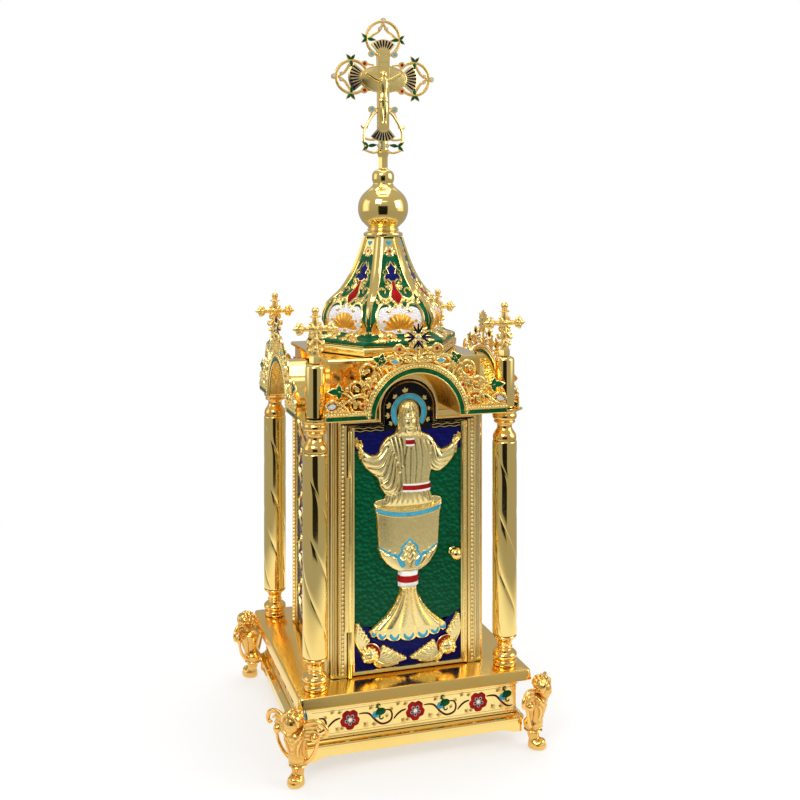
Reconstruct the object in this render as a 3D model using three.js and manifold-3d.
// Altar tabernacle: a square shrine of gilt brass with a hinged enamelled door, four turned
// columns, four openwork arched gables, a six-sided tent roof, a ball and a cross.
// Millimetres, +Z up, the front faces -Y, the origin lies under the middle of the four feet.
import * as THREE from 'three';
import { mergeVertices } from 'three/addons/utils/BufferGeometryUtils.js';
import Module from 'manifold-3d';

const wasm = await Module();
wasm.setup();

// Clearances
const seat = 0.3;
const doorGap = 0.8;
const pinGap = 0.28;

// Base: skirt, band and table. The band's half width drives the plan of the whole shrine.
const bandHalf = 86.4;
const skirtReach = 6.2;
const skirtCorner = 5;
const skirtStep = 1.3;
const skirtLow = 11;
const skirtMid = 17;
const skirtTop = 25;
const skirtWall = 2.4;
const apronMargin = 26.6;
const bandMargin = 1;
const bandFace = 24;
const slabReach = 10.6;
const slabCorner = 4.5;
const slabTop = 62;
const slabEdge = 8;
const sheet = 1.8;

// Feet, measured along the diagonal of the base, past the skirt's corner
const footStand = 9.1;
const footHead = 53;
const wingSpan = 27;

// Cabinet and roof plate
const wallInset = 22.4;
const wallRise = 39.9;
const facing = 1.2;
const lidReach = 3.5;
const lidThick = 3;

// Door and its frame
const leafInset = 13.5;
const shoulderDrop = 9.8;
const lunetteRadius = 20.8;
const lunetteRise = 2.8;
const leafThick = 3;
const rimWide = 5.3;
const rimRise = 2;
const frameWide = 5.2;
const frameRise = 5.5;
const openingMargin = 4.5;
const pinRadius = 0.7;
const knuckleWall = 0.65;
const hingeInset = 1.1;
const hingeRise = 1.9;
const lowerKnuckle = 36.2;
const upperKnuckle = 35.5;
const hingeMargin = 3.5;
const knobInset = 12.5;
const knobRise = 93;
const knobRadius = 5;
const spindleRadius = 1.6;
const tongueLength = 12;
const reedCount = 2;
const reedPitch = 3;

// Columns
const columnInset = 6.9;
const rodRadius = 2;
const drumRadius = 9.9;
const shaftRadius = 9.35;
const baseTall = 18;
const capitalTall = 21.1;
const shaftLobes = 6;
const shaftTurn = Math.PI;
const fluteDepth = 0.9;
const postRadius = 8;
const postTall = 41.1;
const hexAcross = 8.3;
const hexTall = 6.3;
const finialHalf = 16.9;
const finialTall = 37.1;

// Porches and gables
const porchHeight = 270.8;
const porchSheet = 1.2;
const porchReach = 6.2;
const porchCorner = 19.5;
const archMargin = 13.4;
const gableThick = 1.5;
const gableInset = 4.3;
const starRadius = 11.5;
const starHeight = 63.3;

// Dome, ball and cross
const mouldReach = 0.5;
const mouldTall = 7;
const mouldWide = 10;
const domeTall = 88.4;
const domeWall = 2.2;
const domeBoss = 12;
const ribWide = 9;
const ribRise = 0.8;
const neckTall = 4.4;
const ballRadius = 21.8;
const ballTall = 41.3;
const knopRadius = 9.7;
const knopTall = 13;
const crossRise = 77.1;
const crossBar = 5.4;
const crossThick = 3.6;
const topReach = 35;
const sideReach = 28;
const lowReach = 44;
const crossTip = 53;
const studRadius = 2;

// Places that follow from the sizes above
const skirtHalf = bandHalf + skirtReach;
const slabHalf = bandHalf + slabReach;
const apronEnd = skirtHalf - apronMargin;
const footReach = (skirtHalf - skirtCorner) * Math.SQRT2 + skirtCorner + footStand;
const wallHalf = bandHalf - wallInset;
const wallTop = porchHeight + wallRise;
const lidHalf = wallHalf + lidReach;
const leafHalf = wallHalf - leafInset;
const leafShoulder = porchHeight - shoulderDrop;
const lunetteCentre = porchHeight + lunetteRise;
const hingeTop = leafShoulder - hingeMargin;
const knobAcross = leafHalf - knobInset;
const knobHeight = slabTop + knobRise;
const columnOffset = bandHalf - columnInset;
const porchEdge = bandHalf + porchReach;
const porchChamfer = 2 * columnOffset + porchCorner;
const gablePlane = porchEdge + seat;
const gableHalf = columnOffset - gableInset;
const archRadius = lunetteRadius + archMargin;
const mouldRadius = lidHalf + mouldReach;
const slabUnder = slabTop - sheet;
const bandLow = skirtTop + seat;
const bandTop = slabUnder - seat;
const floorLow = slabTop + seat;
const lidLow = wallTop + seat;
const lidTop = lidLow + lidThick;
const mouldLow = lidTop + seat;
const domeLow = mouldLow + mouldTall + seat;
const domeTop = domeLow + domeTall;
const framePlane = wallHalf + frameRise;
const hingePlane = framePlane + hingeRise;
const leafBack = framePlane - leafThick - 1.5;
const leafFront = leafBack + leafThick;
const rimFront = leafFront + rimRise;
const hingeX = -(leafHalf - hingeInset);
const knuckleRadius = pinRadius + pinGap + knuckleWall;
const leafLow = slabTop + doorGap;
const knuckleLow = leafLow + lowerKnuckle;
const knuckleHigh = hingeTop - upperKnuckle;
const capitalTop = porchHeight - seat;
const postLow = porchHeight + porchSheet + seat;
const postTop = postLow + postTall;
const shaftLow = slabTop + seat + baseTall;
const shaftHigh = porchHeight - capitalTall;
const boreRadius = rodRadius + seat;
const neckLow = domeTop + seat;
const ballLow = neckLow + neckTall + seat;
const knopLow = ballLow + ballTall + seat;
const crossLow = knopLow + knopTall + seat;
const crossCentre = crossLow + crossRise;

// Materials
const metal = (color, roughness) => new THREE.MeshStandardMaterial({ color, roughness, metalness: 1 });
const enamel = (color) => new THREE.MeshStandardMaterial({ color, roughness: 0.25, metalness: 0.1 });
const polishedGold = metal(0xe8b84a, 0.15);
const castGold = metal(0xdba63a, 0.35);
const brightGold = metal(0xf2cc66, 0.2);
const steel = metal(0xb8bcc0, 0.4);
const greenEnamel = enamel(0x07522a);

// Drops coincident corners and faces without area, and turns the faces outward
function closed(geometry) {
  const bare = geometry.clone();
  bare.deleteAttribute('normal');
  bare.deleteAttribute('uv');
  const merged = mergeVertices(bare, 1e-4);
  const spot = merged.attributes.position;
  const index = merged.index.array;
  const corners = [new THREE.Vector3(), new THREE.Vector3(), new THREE.Vector3()];
  const kept = [];
  let volume = 0;
  for (let i = 0; i < index.length; i += 3) {
    const [a, b, c] = [index[i], index[i + 1], index[i + 2]];
    if (a === b || b === c || c === a) {
      continue;
    }
    corners[0].fromBufferAttribute(spot, a);
    corners[1].fromBufferAttribute(spot, b);
    corners[2].fromBufferAttribute(spot, c);
    volume += corners[0].dot(corners[1].clone().cross(corners[2]));
    kept.push([a, b, c]);
  }
  const faces = volume < 0 ? kept.map(([a, b, c]) => [a, c, b]) : kept;
  merged.setIndex(faces.flat());
  return merged;
}

function toSolid(geometry) {
  const tidy = closed(geometry);
  const vertProperties = new Float32Array(tidy.attributes.position.array);
  const triVerts = new Uint32Array(tidy.index.array);
  return new wasm.Manifold(new wasm.Mesh({ numProp: 3, vertProperties, triVerts }));
}

function toGeometry(solid) {
  const mesh = solid.getMesh();
  const geometry = new THREE.BufferGeometry();
  geometry.setAttribute('position', new THREE.BufferAttribute(mesh.vertProperties, 3));
  geometry.setIndex(new THREE.BufferAttribute(mesh.triVerts, 1));
  return geometry;
}

function join(geometries) {
  return toGeometry(geometries.map(toSolid).reduce((whole, solid) => whole.add(solid)));
}

function cut(geometry, tools) {
  return toGeometry(tools.map(toSolid).reduce((whole, tool) => whole.subtract(tool), toSolid(geometry)));
}

function common(first, second) {
  return toGeometry(toSolid(first).intersect(toSolid(second)));
}

// Box between two opposite corners
function block(low, high) {
  const size = high.map((value, axis) => value - low[axis]);
  const geometry = new THREE.BoxGeometry(...size);
  geometry.translate(...low.map((value, axis) => value + size[axis] / 2));
  return geometry;
}

// Turns a profile of [radius, height] about Z; a bored profile closes on itself
function turned(profile, sides, firstAngle = 0) {
  const points = profile.map(([radius, height]) => new THREE.Vector2(radius, height));
  const geometry = new THREE.LatheGeometry(points, sides, firstAngle);
  geometry.rotateX(Math.PI / 2);
  return closed(geometry);
}

function bored(profile, radius, sides) {
  const low = profile[0];
  const high = profile[profile.length - 1];
  return turned([[radius, low[1]], ...profile, [radius, high[1]], [radius, low[1]]], sides);
}

// Upright cylinder, and one that lies along Y
function rod(radius, low, high, sides) {
  return turned([[0, low], [radius, low], [radius, high], [0, high]], sides);
}

function spindle(radius, front, back) {
  const geometry = rod(radius, 0, back - front, 10);
  geometry.rotateX(-Math.PI / 2);
  geometry.translate(0, front, 0);
  return geometry;
}

// Extrudes an outline drawn in the front view from y = -back towards the viewer
function facePlate(shape, back, front, curveSegments = 6) {
  const geometry = new THREE.ExtrudeGeometry(shape, {
    depth: front - back,
    bevelEnabled: false,
    curveSegments,
  });
  geometry.rotateX(Math.PI / 2);
  geometry.translate(0, -back, 0);
  return geometry;
}

// Extrudes an outline drawn in plan between two heights
function slabPlate(shape, low, high, curveSegments = 6) {
  const geometry = new THREE.ExtrudeGeometry(shape, {
    depth: high - low,
    bevelEnabled: false,
    curveSegments,
  });
  geometry.translate(0, 0, low);
  return geometry;
}

function polygon(points) {
  return new THREE.Shape(points.map(([x, y]) => new THREE.Vector2(x, y)));
}

// Skins a row of rings with equal counts of points; a looped row closes on itself
function skin(rings, looped = false) {
  const count = rings[0].length;
  const points = rings.flat();
  const faces = [];
  const spans = looped ? rings.length : rings.length - 1;
  for (let i = 0; i < spans; i += 1) {
    const here = i * count;
    const next = ((i + 1) % rings.length) * count;
    for (let j = 0; j < count; j += 1) {
      const k = (j + 1) % count;
      faces.push(here + j, here + k, next + k, here + j, next + k, next + j);
    }
  }
  const ends = looped ? [] : [0, rings.length - 1];
  ends.forEach((end) => {
    const start = end * count;
    const middle = new THREE.Vector3();
    rings[end].forEach((point) => middle.addScaledVector(point, 1 / count));
    points.push(middle);
    for (let j = 0; j < count; j += 1) {
      const k = (j + 1) % count;
      const pair = end === 0 ? [start + k, start + j] : [start + j, start + k];
      faces.push(points.length - 1, ...pair);
    }
  });
  const places = points.flatMap((point) => point.toArray());
  const geometry = new THREE.BufferGeometry();
  geometry.setAttribute('position', new THREE.Float32BufferAttribute(places, 3));
  geometry.setIndex(faces);
  return closed(geometry);
}

// Ring of a square with rounded corners, level at one height; with no steps the corners are sharp
function squareRing(half, radius, height, steps) {
  const ring = [];
  const centre = half - radius;
  const reach = steps === 0 ? radius * Math.SQRT2 : radius;
  for (let corner = 0; corner < 4; corner += 1) {
    const turn = (corner * Math.PI) / 2;
    const alongX = Math.sign(Math.cos(turn + Math.PI / 4));
    const alongY = Math.sign(Math.sin(turn + Math.PI / 4));
    for (let step = 0; step <= steps; step += 1) {
      const angle = turn + (steps === 0 ? Math.PI / 4 : (step * Math.PI) / (2 * steps));
      const x = centre * alongX + reach * Math.cos(angle);
      const y = centre * alongY + reach * Math.sin(angle);
      ring.push(new THREE.Vector3(x, y, height));
    }
  }
  return ring;
}

// Moulding round a square: a profile of [half width, height], corners rounded alike
function squareMoulding(profile, corner, steps, looped) {
  const widest = Math.max(...profile.map(([half]) => half));
  const rings = profile.map(([half, height]) => {
    const radius = Math.max(corner - (widest - half), 0.2);
    return squareRing(half, radius, height, steps);
  });
  return skin(rings, looped);
}

// Tube with its own radius at each of its stations
function taperedTube(stations, sides, flatten = 1) {
  const curve = new THREE.CatmullRomCurve3(stations.map(([x, y, z]) => new THREE.Vector3(x, y, z)));
  const last = stations.length - 1;
  const rings = stations.map(([, , , radius], i) => {
    const centre = curve.getPoint(i / last);
    const along = curve.getTangent(i / last);
    const across = new THREE.Vector3(0, 1, 0).addScaledVector(along, -along.y).normalize();
    const up = along.clone().cross(across);
    const ring = [];
    for (let j = 0; j < sides; j += 1) {
      const angle = (2 * Math.PI * j) / sides;
      const point = centre.clone().addScaledVector(across, radius * flatten * Math.cos(angle));
      ring.push(point.addScaledVector(up, radius * Math.sin(angle)));
    }
    return ring;
  });
  return skin(rings);
}

function ellipsoid(centre, radii, sides, levels) {
  const geometry = new THREE.SphereGeometry(1, sides, levels);
  geometry.rotateX(Math.PI / 2);
  geometry.scale(...radii);
  geometry.translate(...centre);
  return geometry;
}

// Outline of a doorway: straight sides, level shoulders and a round lunette over the middle
function doorway(half, low, shoulder, radius) {
  const spring = Math.max(lunetteCentre - shoulder, 0);
  const start = Math.asin(Math.min(spring / radius, 0.98));
  const foot = radius * Math.cos(start);
  const shape = new THREE.Shape();
  shape.moveTo(half, low);
  shape.lineTo(half, shoulder);
  shape.lineTo(Math.max(foot, radius * 0.999), shoulder);
  shape.absarc(0, lunetteCentre, radius, 0, Math.PI, false);
  shape.lineTo(-Math.max(foot, radius * 0.999), shoulder);
  shape.lineTo(-half, shoulder);
  shape.lineTo(-half, low);
  return shape;
}

// Names each piece and places it, turned about the middle axis where its side asks for it
const tabernacle = new THREE.Group();
const sides = { front: 0, right: Math.PI / 2, back: Math.PI, left: -Math.PI / 2 };
const corners = {
  front_left: [-1, -1],
  front_right: [1, -1],
  back_right: [1, 1],
  back_left: [-1, 1],
};

function add(name, geometry, material, parent = tabernacle) {
  const mesh = new THREE.Mesh(closed(geometry), material);
  mesh.name = name;
  parent.add(mesh);
}

function turnedGroup(angle) {
  const group = new THREE.Group();
  group.rotation.z = angle;
  tabernacle.add(group);
  return group;
}

// Skirt: a rounded square moulding over a step whose lower edge drops in an ogee at the corners
const stepHalf = skirtHalf - skirtStep;
const skirtInner = stepHalf - skirtWall;
function buildSkirt() {
  const ledge = bandHalf - 4;
  const frame = squareMoulding([
    [skirtInner, skirtLow],
    [stepHalf, skirtLow],
    [stepHalf, skirtMid + 1.6],
    [skirtHalf, skirtMid + 2.6],
    [skirtHalf, skirtTop - 2.2],
    [skirtHalf - 1.5, skirtTop],
    [ledge, skirtTop],
    [ledge, skirtTop - sheet],
    [skirtInner, skirtTop - sheet],
  ], skirtCorner, 2, true);
  const apron = new THREE.Shape();
  const shelf = apronEnd + 12;
  apron.moveTo(-shelf, skirtLow - 1);
  apron.lineTo(-shelf, skirtLow + 0.8);
  apron.bezierCurveTo(-apronEnd - 4, skirtLow + 1.5, -apronEnd - 4, skirtMid, -apronEnd + 8, skirtMid);
  apron.lineTo(apronEnd - 8, skirtMid);
  apron.bezierCurveTo(apronEnd + 4, skirtMid, apronEnd + 4, skirtLow + 1.5, shelf, skirtLow + 0.8);
  apron.lineTo(shelf, skirtLow - 1);
  const along = facePlate(apron, -skirtHalf - 1, skirtHalf + 1, 4);
  const across = along.clone().rotateZ(Math.PI / 2);
  return cut(frame, [along, across]);
}
add('base_skirt', buildSkirt(), polishedGold);

const plateHalf = skirtInner - seat;
const plateTop = skirtTop - sheet - seat;
add('bottom_plate', squareMoulding([
  [plateHalf, plateTop - sheet],
  [plateHalf, plateTop],
], 2, 2, false), castGold);

// Band: four walls with a narrow margin moulding above and below the flower strip
const bandInner = bandHalf - sheet;
add('base_band', squareMoulding([
  [bandInner, bandLow],
  [bandHalf + bandMargin, bandLow],
  [bandHalf + bandMargin, bandLow + 1.4],
  [bandHalf, bandLow + 2],
  [bandHalf, bandLow + bandFace - 2],
  [bandHalf + bandMargin, bandLow + bandFace - 1.4],
  [bandHalf + bandMargin, bandLow + bandFace],
  [bandHalf, bandLow + bandFace + 0.8],
  [bandHalf, bandTop],
  [bandInner, bandTop],
], 0.2, 0, true), brightGold);

// Table: a polished sheet with turned-down edges and a hole for each column's rod
function buildSlab() {
  const trayHalf = slabHalf - 2.2;
  const table = squareMoulding([
    [trayHalf, slabUnder],
    [trayHalf, slabTop - slabEdge],
    [slabHalf, slabTop - slabEdge],
    [slabHalf, slabTop - 1.4],
    [slabHalf - 0.7, slabTop - 0.4],
    [slabHalf - 2, slabTop],
  ], slabCorner, 2, false);
  const holes = Object.values(corners).map(([x, y]) => {
    const hole = rod(boreRadius, slabUnder - 1, slabTop + 1, 8);
    return hole.translate(x * columnOffset, y * columnOffset, 0);
  });
  return cut(table, holes);
}
add('base_slab', buildSlab(), polishedGold);

// Feet: a winged bust on a paw, drawn with its chest towards -Y and turned to each corner.
// Body stations are [height, distance out, half depth, half width].
function buildFoot() {
  const body = [
    [0, footReach, 4.6, 5.4],
    [3, footReach, 6.6, 7.2],
    [7.4, footReach - 0.5, 6.4, 7],
    [11.6, footReach - 0.7, 4.2, 4.3],
    [16, footReach - 1.4, footStand - 1.5, 6.6],
    [20, footReach - 1, footStand - 0.5, 8.2],
    [26, footReach + 1, 6.4, 7.4],
    [34, footReach + 1.3, 9, 9],
    [40, footReach + 1.2, 9.6, 10.4],
    [46, footReach + 2.4, 4, 4.6],
  ];
  const sectionPoints = 7;
  const rings = body.map(([height, out, depth, width]) => {
    const ring = [];
    for (let j = 0; j < sectionPoints; j += 1) {
      const angle = ((2 * j + 1) * Math.PI) / sectionPoints;
      ring.push(new THREE.Vector3(width * Math.cos(angle), -out + depth * Math.sin(angle), height));
    }
    return ring;
  });
  const pieces = [skin(rings)];
  const head = ellipsoid([0, 0, 0], [7, 8.2, 8.6], 7, 5).rotateX(-0.5).translate(0, -footReach - 7, footHead);
  pieces.push(head);
  [-1, 1].forEach((side) => {
    const out = -footReach - 1;
    pieces.push(taperedTube([
      [side * 5, out, 41, 4.2],
      [side * 14, out + 0.5, 48.5, 3.9],
      [side * 22, out + 1, 50.5, 3.1],
      [side * wingSpan, out + 0.5, 44, 1.4],
    ], 5, 0.7));
    pieces.push(taperedTube([
      [side * 7, out, 43, 1.8],
      [side * 15.5, out, 42.5, 2.2],
      [side * 17.5, out, 38.5, 3.8],
      [side * 16.5, out, 32, 1.7],
      [side * 6.5, out, 17.5, 1.9],
    ], 5));
  });
  const reach = skirtHalf + seat;
  const socket = squareMoulding([
    [reach, skirtLow - 1],
    [reach, skirtTop + seat],
  ], skirtCorner + seat, 2, false);
  socket.rotateZ(Math.PI / 4);
  return cut(join(pieces), [socket]);
}
const foot = buildFoot();
Object.entries(corners).forEach(([corner, [x, y]]) => {
  add(`foot_${corner}`, foot, castGold, turnedGroup(Math.atan2(x, -y)));
});

// Cabinet: four walls with the doorway cut through the front one
const wallInner = wallHalf - sheet;
function buildCabinet() {
  const walls = squareMoulding([
    [wallInner, floorLow],
    [wallHalf, floorLow],
    [wallHalf, wallTop],
    [wallInner, wallTop],
  ], 0.2, 0, true);
  const opening = doorway(
    leafHalf - openingMargin,
    floorLow + sheet + seat,
    leafShoulder - openingMargin,
    lunetteRadius - openingMargin,
  );
  return cut(walls, [facePlate(opening, wallInner - 2, wallHalf + 2)]);
}
add('cabinet_shell', buildCabinet(), polishedGold);

const floorHalf = wallInner - seat;
const floorTop = floorLow + sheet;
const floorPlate = block([-floorHalf, -floorHalf, floorLow], [floorHalf, floorHalf, floorTop]);
add('cabinet_floor', floorPlate, polishedGold);

// Lid: a moulded plate with a flange that drops inside the walls
const flange = 4;
add('roof_plate', squareMoulding([
  [floorHalf - 1.5, lidLow],
  [floorHalf - 1.5, lidLow - flange],
  [floorHalf, lidLow - flange],
  [floorHalf, lidLow],
  [lidHalf, lidLow],
  [lidHalf, lidTop - 0.9],
  [lidHalf - 1.2, lidTop],
], 1.5, 1, false), polishedGold);

// Facing of one wall: a thin plate, reeds beside the arch and a raised arched border.
// The opening is the outline left free for the door, or null for a blind panel.
const facingHalf = wallHalf - seat;
const facingBack = wallHalf + seat;
const borderInner = leafHalf + doorGap;
const borderOuter = borderInner + frameWide;
function reeds(back, front) {
  const strips = [];
  const first = borderOuter + 1.2;
  for (let column = 0; column < reedCount; column += 1) {
    [-1, 1].forEach((side) => {
      const x = side * (first + 1 + column * reedPitch);
      const reed = rod(1, floorLow + 1, leafShoulder + 6, 5);
      reed.translate(x, -back - 0.1, 0);
      strips.push(common(reed, block([x - 2, -front, floorLow], [x + 2, -back + 0.5, wallTop])));
    });
  }
  return strips;
}

function facingPlate(front) {
  const borderRadius = lunetteRadius + doorGap + frameWide;
  const borderShoulder = leafShoulder + doorGap + frameWide;
  const outer = doorway(facingHalf, floorLow, porchHeight - 1, borderRadius);
  const border = doorway(borderOuter, floorLow, borderShoulder, borderRadius);
  const back = facePlate(outer, facingBack, facingBack + facing, 4);
  const raised = facePlate(border, facingBack, front, 4);
  return join([back, raised, ...reeds(facingBack + facing, front)]);
}

// Door frame with the middle knuckle of the hinge
function knuckle(low, high) {
  return rod(knuckleRadius, low, high, 10).translate(hingeX, -hingePlane, 0);
}
function pinBore(low, high) {
  return rod(pinRadius + pinGap, low, high, 8).translate(hingeX, -hingePlane, 0);
}
function buildFrame() {
  const opening = doorway(borderInner, floorLow - 1, leafShoulder + doorGap, lunetteRadius + doorGap);
  const plate = cut(facingPlate(framePlane), [facePlate(opening, wallHalf - 1, framePlane + 4)]);
  const low = knuckleLow + seat;
  const high = knuckleHigh - seat;
  const webFront = hingePlane + 0.6;
  const web = block([-borderInner - 2, -webFront, low], [hingeX, -hingePlane + 0.6, high]);
  const root = block([-borderInner - 2, -webFront, low], [-borderInner - 0.2, -framePlane + 0.5, high]);
  return cut(join([plate, root, web, knuckle(low, high)]), [pinBore(low - 1, high + 1)]);
}
add('door_frame', buildFrame(), brightGold);

// Door: arched leaf with a raised rim, the upper and lower knuckles and the spindle's hole
function buildLeaf() {
  const outline = doorway(leafHalf, leafLow, leafShoulder, lunetteRadius);
  const field = doorway(leafHalf - rimWide, leafLow + 3.4, leafShoulder - 1.6, lunetteRadius - 1.6);
  const panel = cut(facePlate(outline, leafBack, rimFront), [facePlate(field, leafFront, rimFront + 1)]);
  const relief = hingePlane - knuckleRadius - 2 * seat;
  const notch = block(
    [-leafHalf - 1, -rimFront - 3, knuckleLow],
    [hingeX + knuckleRadius + 2 * seat, -relief, knuckleHigh],
  );
  const strip = block(
    [-leafHalf, -hingePlane + 0.4, leafLow],
    [hingeX + knuckleRadius, -rimFront + 0.5, hingeTop],
  );
  const lower = knuckle(leafLow, knuckleLow);
  const upper = knuckle(knuckleHigh, hingeTop);
  const hole = spindle(spindleRadius + seat, -rimFront - 1, -leafBack + 1);
  hole.translate(knobAcross, 0, knobHeight);
  const whole = cut(join([panel, strip]), [notch]);
  return cut(join([whole, lower, upper]), [pinBore(leafLow - 1, hingeTop + 1), hole]);
}
add('door_leaf', buildLeaf(), greenEnamel);
add('hinge_pin', rod(pinRadius, leafLow + seat, hingeTop - seat, 8).translate(hingeX, -hingePlane, 0), steel);

// Relief: a robed figure with raised arms above a chalice, flat at the back.
// Profiles are [half width, height]; the depth is a share of the width. It is drawn on a leaf of
// this half width, between a table and a porch at these heights, and then fitted to its own.
const reliefDrawn = { half: 50.5, table: 62, porch: 270.8, deep: 20 };
function buildRelief() {
  const back = leafFront + seat;
  const shallow = (geometry, share) => geometry.scale(1, share, 1).translate(0, -back, 0);
  const robe = shallow(turned([
    [0, 196], [22, 196], [21, 206], [18, 213], [21, 226], [23, 238], [20, 247], [9, 255], [0, 256],
  ], 10), 0.2);
  const cup = shallow(turned([
    [0, 142], [9, 143], [19, 150], [25, 162], [25.5, 186], [28, 192], [28, 201], [0, 202],
  ], 10), 0.21);
  const knot = shallow(turned([[0, 127], [7, 128], [9, 132], [9, 139], [6.5, 143], [0, 144]], 8), 0.5);
  const hem = new THREE.Shape();
  const lobes = 7;
  const hemHalf = 32;
  hem.moveTo(6.5, 130);
  hem.quadraticCurveTo(13, 108, hemHalf, 98);
  for (let lobe = 0; lobe < lobes; lobe += 1) {
    const ahead = Math.PI * ((lobe + 1) / lobes);
    const middle = Math.PI * ((lobe + 0.5) / lobes);
    const reach = hemHalf + 3.4;
    hem.quadraticCurveTo(
      reach * Math.cos(middle),
      98 - 14.5 * Math.sin(middle),
      hemHalf * Math.cos(ahead),
      98 - 9.5 * Math.sin(ahead),
    );
  }
  hem.quadraticCurveTo(-13, 108, -6.5, 130);
  const base = facePlate(hem, back, back + 2.6, 2);
  const parts = [robe, cup, knot, base];
  [-1, 1].forEach((side) => {
    parts.push(taperedTube([
      [side * 14, -back, 245, 5.5],
      [side * 22, -back, 232, 7],
      [side * 27, -back, 224, 6.5],
      [side * 36, -back, 234, 4.6],
      [side * 43, -back, 243, 2.6],
    ], 6, 0.6));
  });
  const halo = new THREE.Shape();
  halo.absarc(0.8, 269.6, 15, 0, 2 * Math.PI, false);
  parts.push(facePlate(halo, back, back + 0.8, 6));
  parts.push(ellipsoid([0.8, -back, 264], [8.6, 4.4, 11.6], 8, 6));
  const { half, table, porch, deep } = reliefDrawn;
  const front = block([-half, -back - deep, table], [half, -back, porch + lunetteRadius]);
  const tall = (porchHeight - slabTop) / (porch - table);
  const relief = common(join(parts), front);
  return relief.scale(leafHalf / half, 1, tall).translate(0, 0, slabTop - table * tall);
}
add('door_relief', buildRelief(), brightGold);

// Knob on its spindle, and the tongue behind the leaf, hanging down when it is free
function buildKnob() {
  const reach = leafFront + seat;
  const profile = [
    [0, -(leafFront - wallInner) - 2.4],
    [spindleRadius, -(leafFront - wallInner) - 2.4],
    [spindleRadius, seat],
    [3.4, seat],
    [3.2, 2],
    [1.9, 2.8],
    [1.9, 4],
  ];
  const ballCentre = 4 + knobRadius - 0.4;
  for (let step = 1; step <= 5; step += 1) {
    const angle = -Math.PI / 2 + 0.4 + (step / 5) * (Math.PI - 0.4);
    profile.push([knobRadius * Math.cos(angle), ballCentre + knobRadius * Math.sin(angle)]);
  }
  profile[profile.length - 1][0] = 0;
  return turned(profile, 10).rotateX(Math.PI / 2).translate(knobAcross, -reach + seat, knobHeight);
}
add('door_knob', buildKnob(), polishedGold);

function buildTongue() {
  const front = -wallInner + seat;
  const shape = new THREE.Shape();
  shape.absarc(0, 0, 4, 0, Math.PI, false);
  shape.lineTo(-3, -tongueLength);
  shape.lineTo(3, -tongueLength);
  const hole = spindle(spindleRadius + seat, front - 1, front + 3);
  const plate = facePlate(shape, -front - 1.6, -front, 4);
  return cut(plate, [hole]).translate(knobAcross, 0, knobHeight);
}
add('latch_cam', buildTongue(), steel);

// Blind arched panels on the other three walls
function buildPanel() {
  const front = facingBack + facing + 1.6;
  const field = doorway(borderInner, floorLow + frameWide, leafShoulder + doorGap, lunetteRadius + doorGap);
  return cut(facingPlate(front), [facePlate(field, facingBack + facing - 0.2, front + 1, 4)]);
}
const panel = buildPanel();
['left', 'right', 'back'].forEach((side) => {
  add(`panel_${side}`, panel, brightGold, turnedGroup(sides[side]));
});

// Porch: flat wings and a half barrel from the wall to the gable, mitred to its neighbours
function buildPorch() {
  const inner = archRadius + seat;
  const outer = inner + porchSheet;
  const wing = porchEdge + 5;
  const spring = Math.asin(porchSheet / outer);
  const section = new THREE.Shape();
  section.moveTo(-wing, porchHeight);
  section.lineTo(-inner, porchHeight);
  section.absarc(0, porchHeight, inner, Math.PI, 0, true);
  section.lineTo(wing, porchHeight);
  section.lineTo(wing, porchHeight + porchSheet);
  section.absarc(0, porchHeight, outer, spring, Math.PI - spring, false);
  section.lineTo(-wing, porchHeight + porchSheet);
  const inside = wallHalf + seat;
  const tip = (porchChamfer - seat) / 2;
  const shoulder = porchChamfer - porchEdge;
  const plan = polygon([
    [-inside + seat, -inside],
    [inside - seat, -inside],
    [tip, -tip - seat],
    [shoulder, -porchEdge],
    [-shoulder, -porchEdge],
    [-tip, -tip - seat],
  ]);
  const body = common(
    facePlate(section, inside - 1, porchEdge + 1, 6),
    slabPlate(plan, porchHeight - 2, porchHeight + 50),
  );
  const holes = [-1, 1].map((side) => {
    return rod(boreRadius, porchHeight - 1, postLow, 8).translate(side * columnOffset, -columnOffset, 0);
  });
  return cut(body, holes);
}
const porch = buildPorch();

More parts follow.
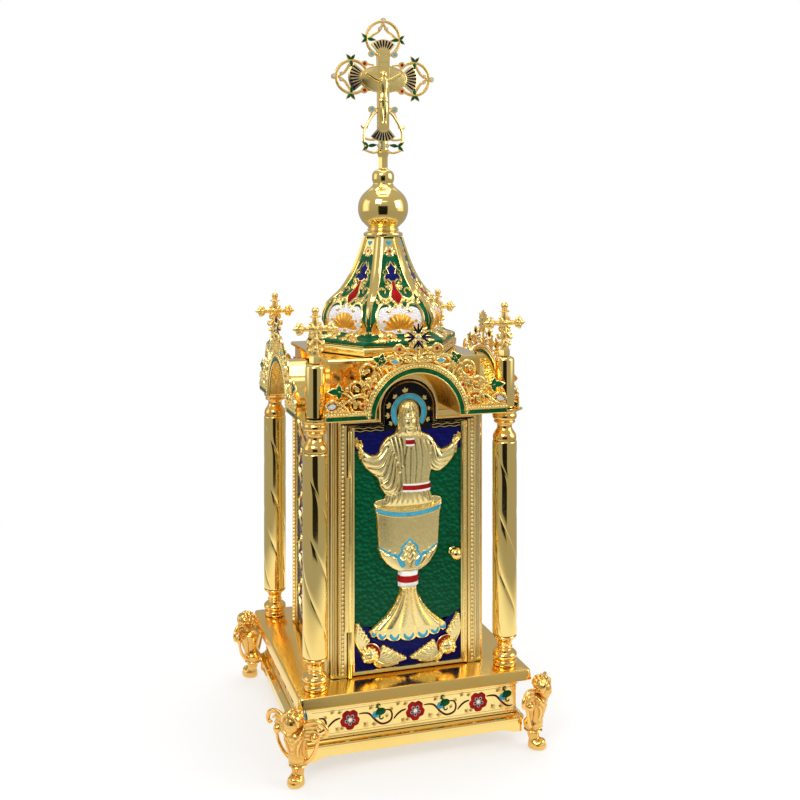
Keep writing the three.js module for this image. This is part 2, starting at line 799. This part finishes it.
// Gable: openwork plate with a round arch, vine loops, leaves and an eight-rayed star.
// It is drawn for a half width of 75.2, with heights from its foot, and then fitted to its own.
const gableDrawn = 75.2;
const gableFit = gableHalf / gableDrawn;
function buildGable() {
  const edge = new THREE.Path();
  edge.moveTo(gableDrawn, 0);
  edge.lineTo(gableDrawn, 8);
  edge.quadraticCurveTo(gableDrawn + 1.4, 15.5, 69.5, 16.5);
  edge.quadraticCurveTo(66, 17, 67.5, 19.5);
  edge.lineTo(73, 22.5);
  edge.lineTo(68.4, 23.6);
  edge.lineTo(65.6, 28);
  edge.lineTo(62.6, 23.5);
  edge.quadraticCurveTo(57.5, 23, 57, 26.5);
  edge.quadraticCurveTo(57.5, 33.5, 50, 33.2);
  edge.quadraticCurveTo(46, 33.2, 46.8, 36.5);
  edge.quadraticCurveTo(49, 42.5, 42, 44);
  edge.quadraticCurveTo(38, 44.6, 36.6, 42.4);
  edge.lineTo(36, 48.6);
  edge.lineTo(31, 46.8);
  edge.lineTo(26.5, 50);
  edge.lineTo(25.4, 46);
  edge.quadraticCurveTo(22, 47.5, 20.6, 50);
  edge.quadraticCurveTo(18.5, 57, 13.6, 54.6);
  const right = edge.getPoints(2).map((point) => new THREE.Vector2(gableFit * point.x, point.y));
  for (let ray = 0; ray < 7; ray += 1) {
    const angle = -Math.PI / 4 + (ray * Math.PI) / 8;
    const reach = ray % 2 === 0 ? starRadius : starRadius * 0.55;
    right.push(new THREE.Vector2(reach * Math.cos(angle), starHeight + reach * Math.sin(angle)));
  }
  right[right.length - 1].x = 0;
  const left = right.slice(0, -1).map((point) => new THREE.Vector2(-point.x, point.y)).reverse();
  const arch = new THREE.Path();
  arch.absarc(0, 0, archRadius, Math.PI, 0, true);
  const shape = new THREE.Shape([...right, ...left, ...arch.getPoints(7)]);
  const eyes = [
    [59, 11.6, 7.4, 3.6],
    [51, 22.4, 6.6, 4.6],
    [38.6, 33, 4.2, 5],
    [24, 41.6, 5.8, 2.8],
  ];
  eyes.forEach(([x, height, wide, tall]) => {
    [-1, 1].forEach((side) => {
      const eye = new THREE.Path();
      eye.absellipse(side * gableFit * x, height, wide, tall, 0, 2 * Math.PI, false);
      const points = eye.getPoints(3).slice(0, -1);
      shape.holes.push(new THREE.Path(points));
    });
  });
  const plate = facePlate(shape, gablePlane, gablePlane + gableThick);
  return plate.translate(0, 0, porchHeight - 1);
}
const gable = buildGable();
Object.entries(sides).forEach(([side, angle]) => {
  const group = turnedGroup(angle);
  add(`vault_${side}`, porch, polishedGold, group);
  add(`pediment_${side}`, gable, castGold, group);
});

// Columns: turned base, spirally fluted shaft, capital and post, strung on a threaded rod
const turnedSides = 10;
const columnBase = bored([
  [drumRadius, floorLow],
  [drumRadius, floorLow + 5],
  [8.4, floorLow + 6],
  [9.3, floorLow + 7.8],
  [6.3, floorLow + 12],
  [6.4, floorLow + 15],
  [7.6, shaftLow - seat],
], boreRadius, turnedSides);

function buildShaft() {
  const points = shaftLobes * 2;
  const levels = 7;
  const neck = 4.2;
  const bulge = (height) => {
    const end = Math.min(height - shaftLow, shaftHigh - height);
    return shaftRadius - 1.7 * Math.max(0, 1 - end / neck) ** 1.6;
  };
  const heights = [shaftLow, shaftLow + neck / 2];
  for (let level = 0; level <= levels; level += 1) {
    heights.push(shaftLow + neck + ((shaftHigh - shaftLow - 2 * neck) * level) / levels);
  }
  heights.push(shaftHigh - neck / 2, shaftHigh);
  const rings = heights.map((height) => {
    const turn = (shaftTurn * (height - shaftLow)) / (shaftHigh - shaftLow);
    return Array.from({ length: points }, (_, j) => {
      const angle = (2 * Math.PI * j) / points + turn;
      const radius = bulge(height) - (j % 2 ? fluteDepth : 0);
      return new THREE.Vector3(radius * Math.cos(angle), radius * Math.sin(angle), height);
    });
  });
  return cut(skin(rings), [rod(boreRadius, shaftLow - 1, shaftHigh + 1, 8)]);
}

const columnCapital = bored([
  [7.6, shaftHigh + seat],
  [6.9, shaftHigh + 3],
  [6.9, shaftHigh + 9.2],
  [9.7, shaftHigh + 11.6],
  [8.5, shaftHigh + 14.4],
  [8.8, shaftHigh + 17.6],
  [10.6, capitalTop],
], boreRadius, turnedSides);

const columnPost = bored([
  [postRadius, postLow],
  [postRadius, postTop - 1.6],
  [postRadius - 1.6, postTop],
], boreRadius, turnedSides);

// Rod with a nut under the table and its end inside the finial
const nutRadius = 4.4;
const rodEnd = postTop + seat + hexTall - 1.4;
const tieRod = turned([
  [0, slabUnder - seat - 3.4],
  [nutRadius, slabUnder - seat - 3.4],
  [nutRadius, slabUnder - seat],
  [rodRadius, slabUnder - seat],
  [rodRadius, rodEnd],
  [0, rodEnd],
], 6);

// Finial: a hexagonal nut under a small cross with budded arms
function buildFinial() {
  const low = postTop + seat;
  const armLow = low + hexTall;
  const centre = armLow + finialTall - finialHalf + 0.7;
  const arm = 1.9;
  const bud = 3.1;
  const shape = new THREE.Shape();
  shape.moveTo(arm, armLow - 1);
  shape.lineTo(arm, centre - arm - 3);
  shape.lineTo(arm + 3, centre - arm);
  const reach = finialHalf - bud;
  [0, 1, 2].forEach((quarter) => {
    const turn = (quarter * Math.PI) / 2;
    const place = (along, across) => [
      along * Math.cos(turn) - across * Math.sin(turn),
      centre + along * Math.sin(turn) + across * Math.cos(turn),
    ];
    shape.lineTo(...place(reach - bud, -arm));
    shape.quadraticCurveTo(...place(reach - bud - 0.6, -arm - bud - 1.4), ...place(reach - 0.4, -arm - 1.4));
    shape.quadraticCurveTo(...place(finialHalf + bud, -arm), ...place(finialHalf - 0.4, 0));
    shape.quadraticCurveTo(...place(finialHalf + bud, arm), ...place(reach - 0.4, arm + 1.4));
    shape.quadraticCurveTo(...place(reach - bud - 0.6, arm + bud + 1.4), ...place(reach - bud, arm));
    if (quarter < 2) {
      shape.lineTo(...place(arm + 3, arm));
      shape.lineTo(...place(arm, arm + 3));
    }
  });
  shape.lineTo(-arm - 3, centre - arm);
  shape.lineTo(-arm, centre - arm - 3);
  shape.lineTo(-arm, armLow - 1);
  const cross = facePlate(shape, -1.3, 1.3, 2);
  const hexCorner = hexAcross / Math.sqrt(3);
  const nut = turned([
    [0, low],
    [hexCorner, low],
    [hexCorner, armLow - 0.8],
    [2.6, armLow + 1.4],
    [0, armLow + 1.4],
  ], 6, Math.PI / 6);
  return cut(join([nut, cross]), [rod(boreRadius, low - 1, rodEnd + seat, 6)]);
}
const shaft = buildShaft();
const finial = buildFinial();
Object.entries(corners).forEach(([corner, [x, y]]) => {
  const column = new THREE.Group();
  column.position.set(x * columnOffset, y * columnOffset, 0);
  tabernacle.add(column);
  add(`tie_rod_${corner}`, tieRod, steel, column);
  add(`column_base_${corner}`, columnBase, polishedGold, column);
  add(`column_shaft_${corner}`, shaft, polishedGold, column);
  add(`column_capital_${corner}`, columnCapital, polishedGold, column);
  add(`column_post_${corner}`, columnPost, polishedGold, column);
  add(`finial_${corner}`, finial, castGold, column);
});

// Roof: six-sided moulding and a concave tent with a broad rib on each corner
const hexSides = 6;
const hexTurn = Math.PI / hexSides;
const mouldInner = mouldRadius - mouldWide;
add('dome_moulding', turned([
  [mouldInner, mouldLow],
  [mouldRadius - 1.5, mouldLow],
  [mouldRadius, mouldLow + 1.5],
  [mouldRadius, mouldLow + mouldTall - 1.2],
  [mouldRadius - 1.4, mouldLow + mouldTall],
  [mouldInner, mouldLow + mouldTall],
  [mouldInner, mouldLow],
], hexSides, hexTurn), polishedGold);

// Tent's profile, as shares of its height and of the moulding's corner radius
const domeStations = [
  [0, 0.978],
  [0.045, 0.971],
  [0.085, 0.838],
  [0.141, 0.774],
  [0.232, 0.806],
  [0.373, 0.729],
  [0.498, 0.559],
  [0.622, 0.447],
  [0.747, 0.368],
  [0.882, 0.3],
  [1, 0.25],
].map(([tall, wide]) => [domeLow + tall * domeTall, wide * mouldRadius]);
const neckRadius = 0.25 * mouldRadius;

// Level ring of the tent: each corner carries a rib with two edges and a ridge
function ribbedRing(height, radius) {
  const half = Math.min(ribWide / 2, radius * 0.17);
  const ring = [];
  for (let corner = 0; corner < hexSides; corner += 1) {
    const angle = hexTurn + (corner * 2 * Math.PI) / hexSides;
    const along = new THREE.Vector3(Math.sin(angle), -Math.cos(angle), 0);
    const [before, after] = [-1, 1].map((side) => {
      const face = angle + side * hexTurn;
      const normal = new THREE.Vector3(Math.sin(face), -Math.cos(face), 0);
      const inward = new THREE.Vector3(Math.cos(face), Math.sin(face), 0).multiplyScalar(side);
      const flat = along.clone().multiplyScalar(radius).addScaledVector(inward, half);
      return [flat, flat.clone().addScaledVector(normal, ribRise)];
    });
    const ridge = along.clone().multiplyScalar(radius + ribRise * 1.15);
    ring.push(before[0], before[1], ridge, after[1], after[0]);
  }
  ring.forEach((point) => point.setZ(height));
  return ring;
}

function plainRing(height, radius) {
  return Array.from({ length: hexSides }, (_, corner) => {
    const angle = hexTurn + (corner * 2 * Math.PI) / hexSides;
    return new THREE.Vector3(radius * Math.sin(angle), -radius * Math.cos(angle), height);
  });
}

function buildDome() {
  const tent = skin(domeStations.map(([height, radius]) => ribbedRing(height, radius)));
  const inset = domeWall / Math.cos(hexTurn);
  const hollow = domeStations.filter(([height]) => height < domeTop - domeBoss);
  const rings = hollow.map(([height, radius]) => plainRing(height, radius - inset));
  rings[0].forEach((point) => point.setZ(domeLow - 1));
  const bore = rod(studRadius + seat, domeTop - domeBoss, domeTop + 1, 8);
  return cut(tent, [skin(rings), bore]);
}
add('dome', buildDome(), greenEnamel);

// Neck ring, ball and knop, threaded on the stud of the cross
const spireBore = studRadius + seat;
add('neck_ring', bored([
  [neckRadius - 1, neckLow],
  [neckRadius, neckLow + 1],
  [neckRadius, neckLow + neckTall - 1.2],
  [neckRadius - 2.4, neckLow + neckTall],
], spireBore, 12), polishedGold);

function buildBall() {
  const centre = ballLow + 20;
  const profile = [[14, ballLow], [14.6, ballLow + 3.6]];
  const steps = 4;
  const first = -0.8;
  const last = 0.86;
  for (let step = 0; step <= steps; step += 1) {
    const angle = first + ((last - first) * step) / steps;
    profile.push([ballRadius * Math.cos(angle), centre + ballRadius * Math.sin(angle)]);
  }
  profile.push([10.4, ballLow + ballTall - 2.6], [8.8, ballLow + ballTall]);
  return bored(profile, spireBore, 12);
}
add('ball', buildBall(), polishedGold);

add('stem_knop', bored([
  [8.6, knopLow],
  [knopRadius, knopLow + 3],
  [knopRadius, knopLow + 6.4],
  [8.6, knopLow + 10],
  [5, knopLow + 12.4],
  [3.9, knopLow + knopTall],
], spireBore, 10), polishedGold);

// Cross: flat bars and an oval, and on each end a ring with a fan in it, two leaves and a pearl.
// An end's leaves lie [outward, aside] of the ring's middle, and its pearl straight outward.
const ringWide = 2.4;
const fanReach = 13;
const pearlRadius = 2.7;
const topRing = crossCentre + topReach;
const lowRing = crossCentre - lowReach;
const sideRing = { half: [14.6, 14.6], leaf: [0, 14.6], pearl: 17 };
const crossEnds = [
  {
    middle: [0, topRing],
    turn: Math.PI / 2,
    half: [15.7, 15.7],
    leaf: [0, 14.6],
    pearl: crossTip - topReach - pearlRadius,
  },
  { middle: [sideReach, crossCentre], turn: 0, ...sideRing },
  { middle: [-sideReach, crossCentre], turn: Math.PI, ...sideRing },
  { middle: [0, lowRing], turn: -Math.PI / 2, half: [15.2, 19.5], leaf: [12, 13.4], pearl: 0 },
];
const crossHalf = crossThick / 2;

function crossEnd({ middle, turn, half, leaf, pearl }) {
  const at = (outward, aside) => [
    middle[0] + outward * Math.cos(turn) - aside * Math.sin(turn),
    middle[1] + outward * Math.sin(turn) + aside * Math.cos(turn),
  ];
  const ring = new THREE.Shape();
  ring.absellipse(...middle, ...half, 0, 2 * Math.PI, false);
  const inside = new THREE.Path();
  inside.absellipse(...middle, half[0] - ringWide, half[1] - ringWide, 0, 2 * Math.PI, true);
  ring.holes.push(inside);
  const root = ringWide - Math.min(half[0], 14);
  const fan = [at(root - 3, 0)];
  for (let ray = -2; ray <= 2; ray += 1) {
    const angle = (ray * Math.PI) / 7;
    fan.push(at(root + fanReach * Math.cos(angle), fanReach * Math.sin(angle)));
  }
  const pieces = [
    facePlate(ring, -crossHalf, crossHalf, 5),
    facePlate(polygon(fan), -crossHalf, crossHalf),
  ];
  [-1, 1].forEach((side) => {
    const points = [];
    for (let tip = 0; tip < 6; tip += 1) {
      const reach = tip % 2 === 0 ? 4.6 : 2;
      const angle = (tip * Math.PI) / 3;
      points.push(at(leaf[0] + reach * Math.cos(angle), side * leaf[1] + reach * Math.sin(angle)));
    }
    pieces.push(facePlate(polygon(points), -crossHalf, crossHalf));
  });
  if (pearl > 0) {
    const [x, z] = at(pearl, 0);
    pieces.push(ellipsoid([x, 0, z], [pearlRadius, 2.3, pearlRadius], 6, 4));
  }
  return pieces;
}

function buildCross() {
  const oval = new THREE.Shape();
  oval.absellipse(0, crossCentre, 22.5, 12, 0, 2 * Math.PI, false);
  return join([
    block([-crossBar, -crossHalf, lowRing - 9], [crossBar, crossHalf, topRing - 8]),
    block([6 - sideReach, -crossHalf, crossCentre - 6], [sideReach - 6, crossHalf, crossCentre + 6]),
    facePlate(oval, -crossHalf, crossHalf, 6),
    rod(3.9, crossLow, lowRing - 10, 8).scale(1, 0.8, 1),
    rod(studRadius, domeTop - 7, crossLow + 1, 8),
    ...crossEnds.flatMap(crossEnd),
  ]);
}
add('cross', buildCross(), castGold);

export default tabernacle;
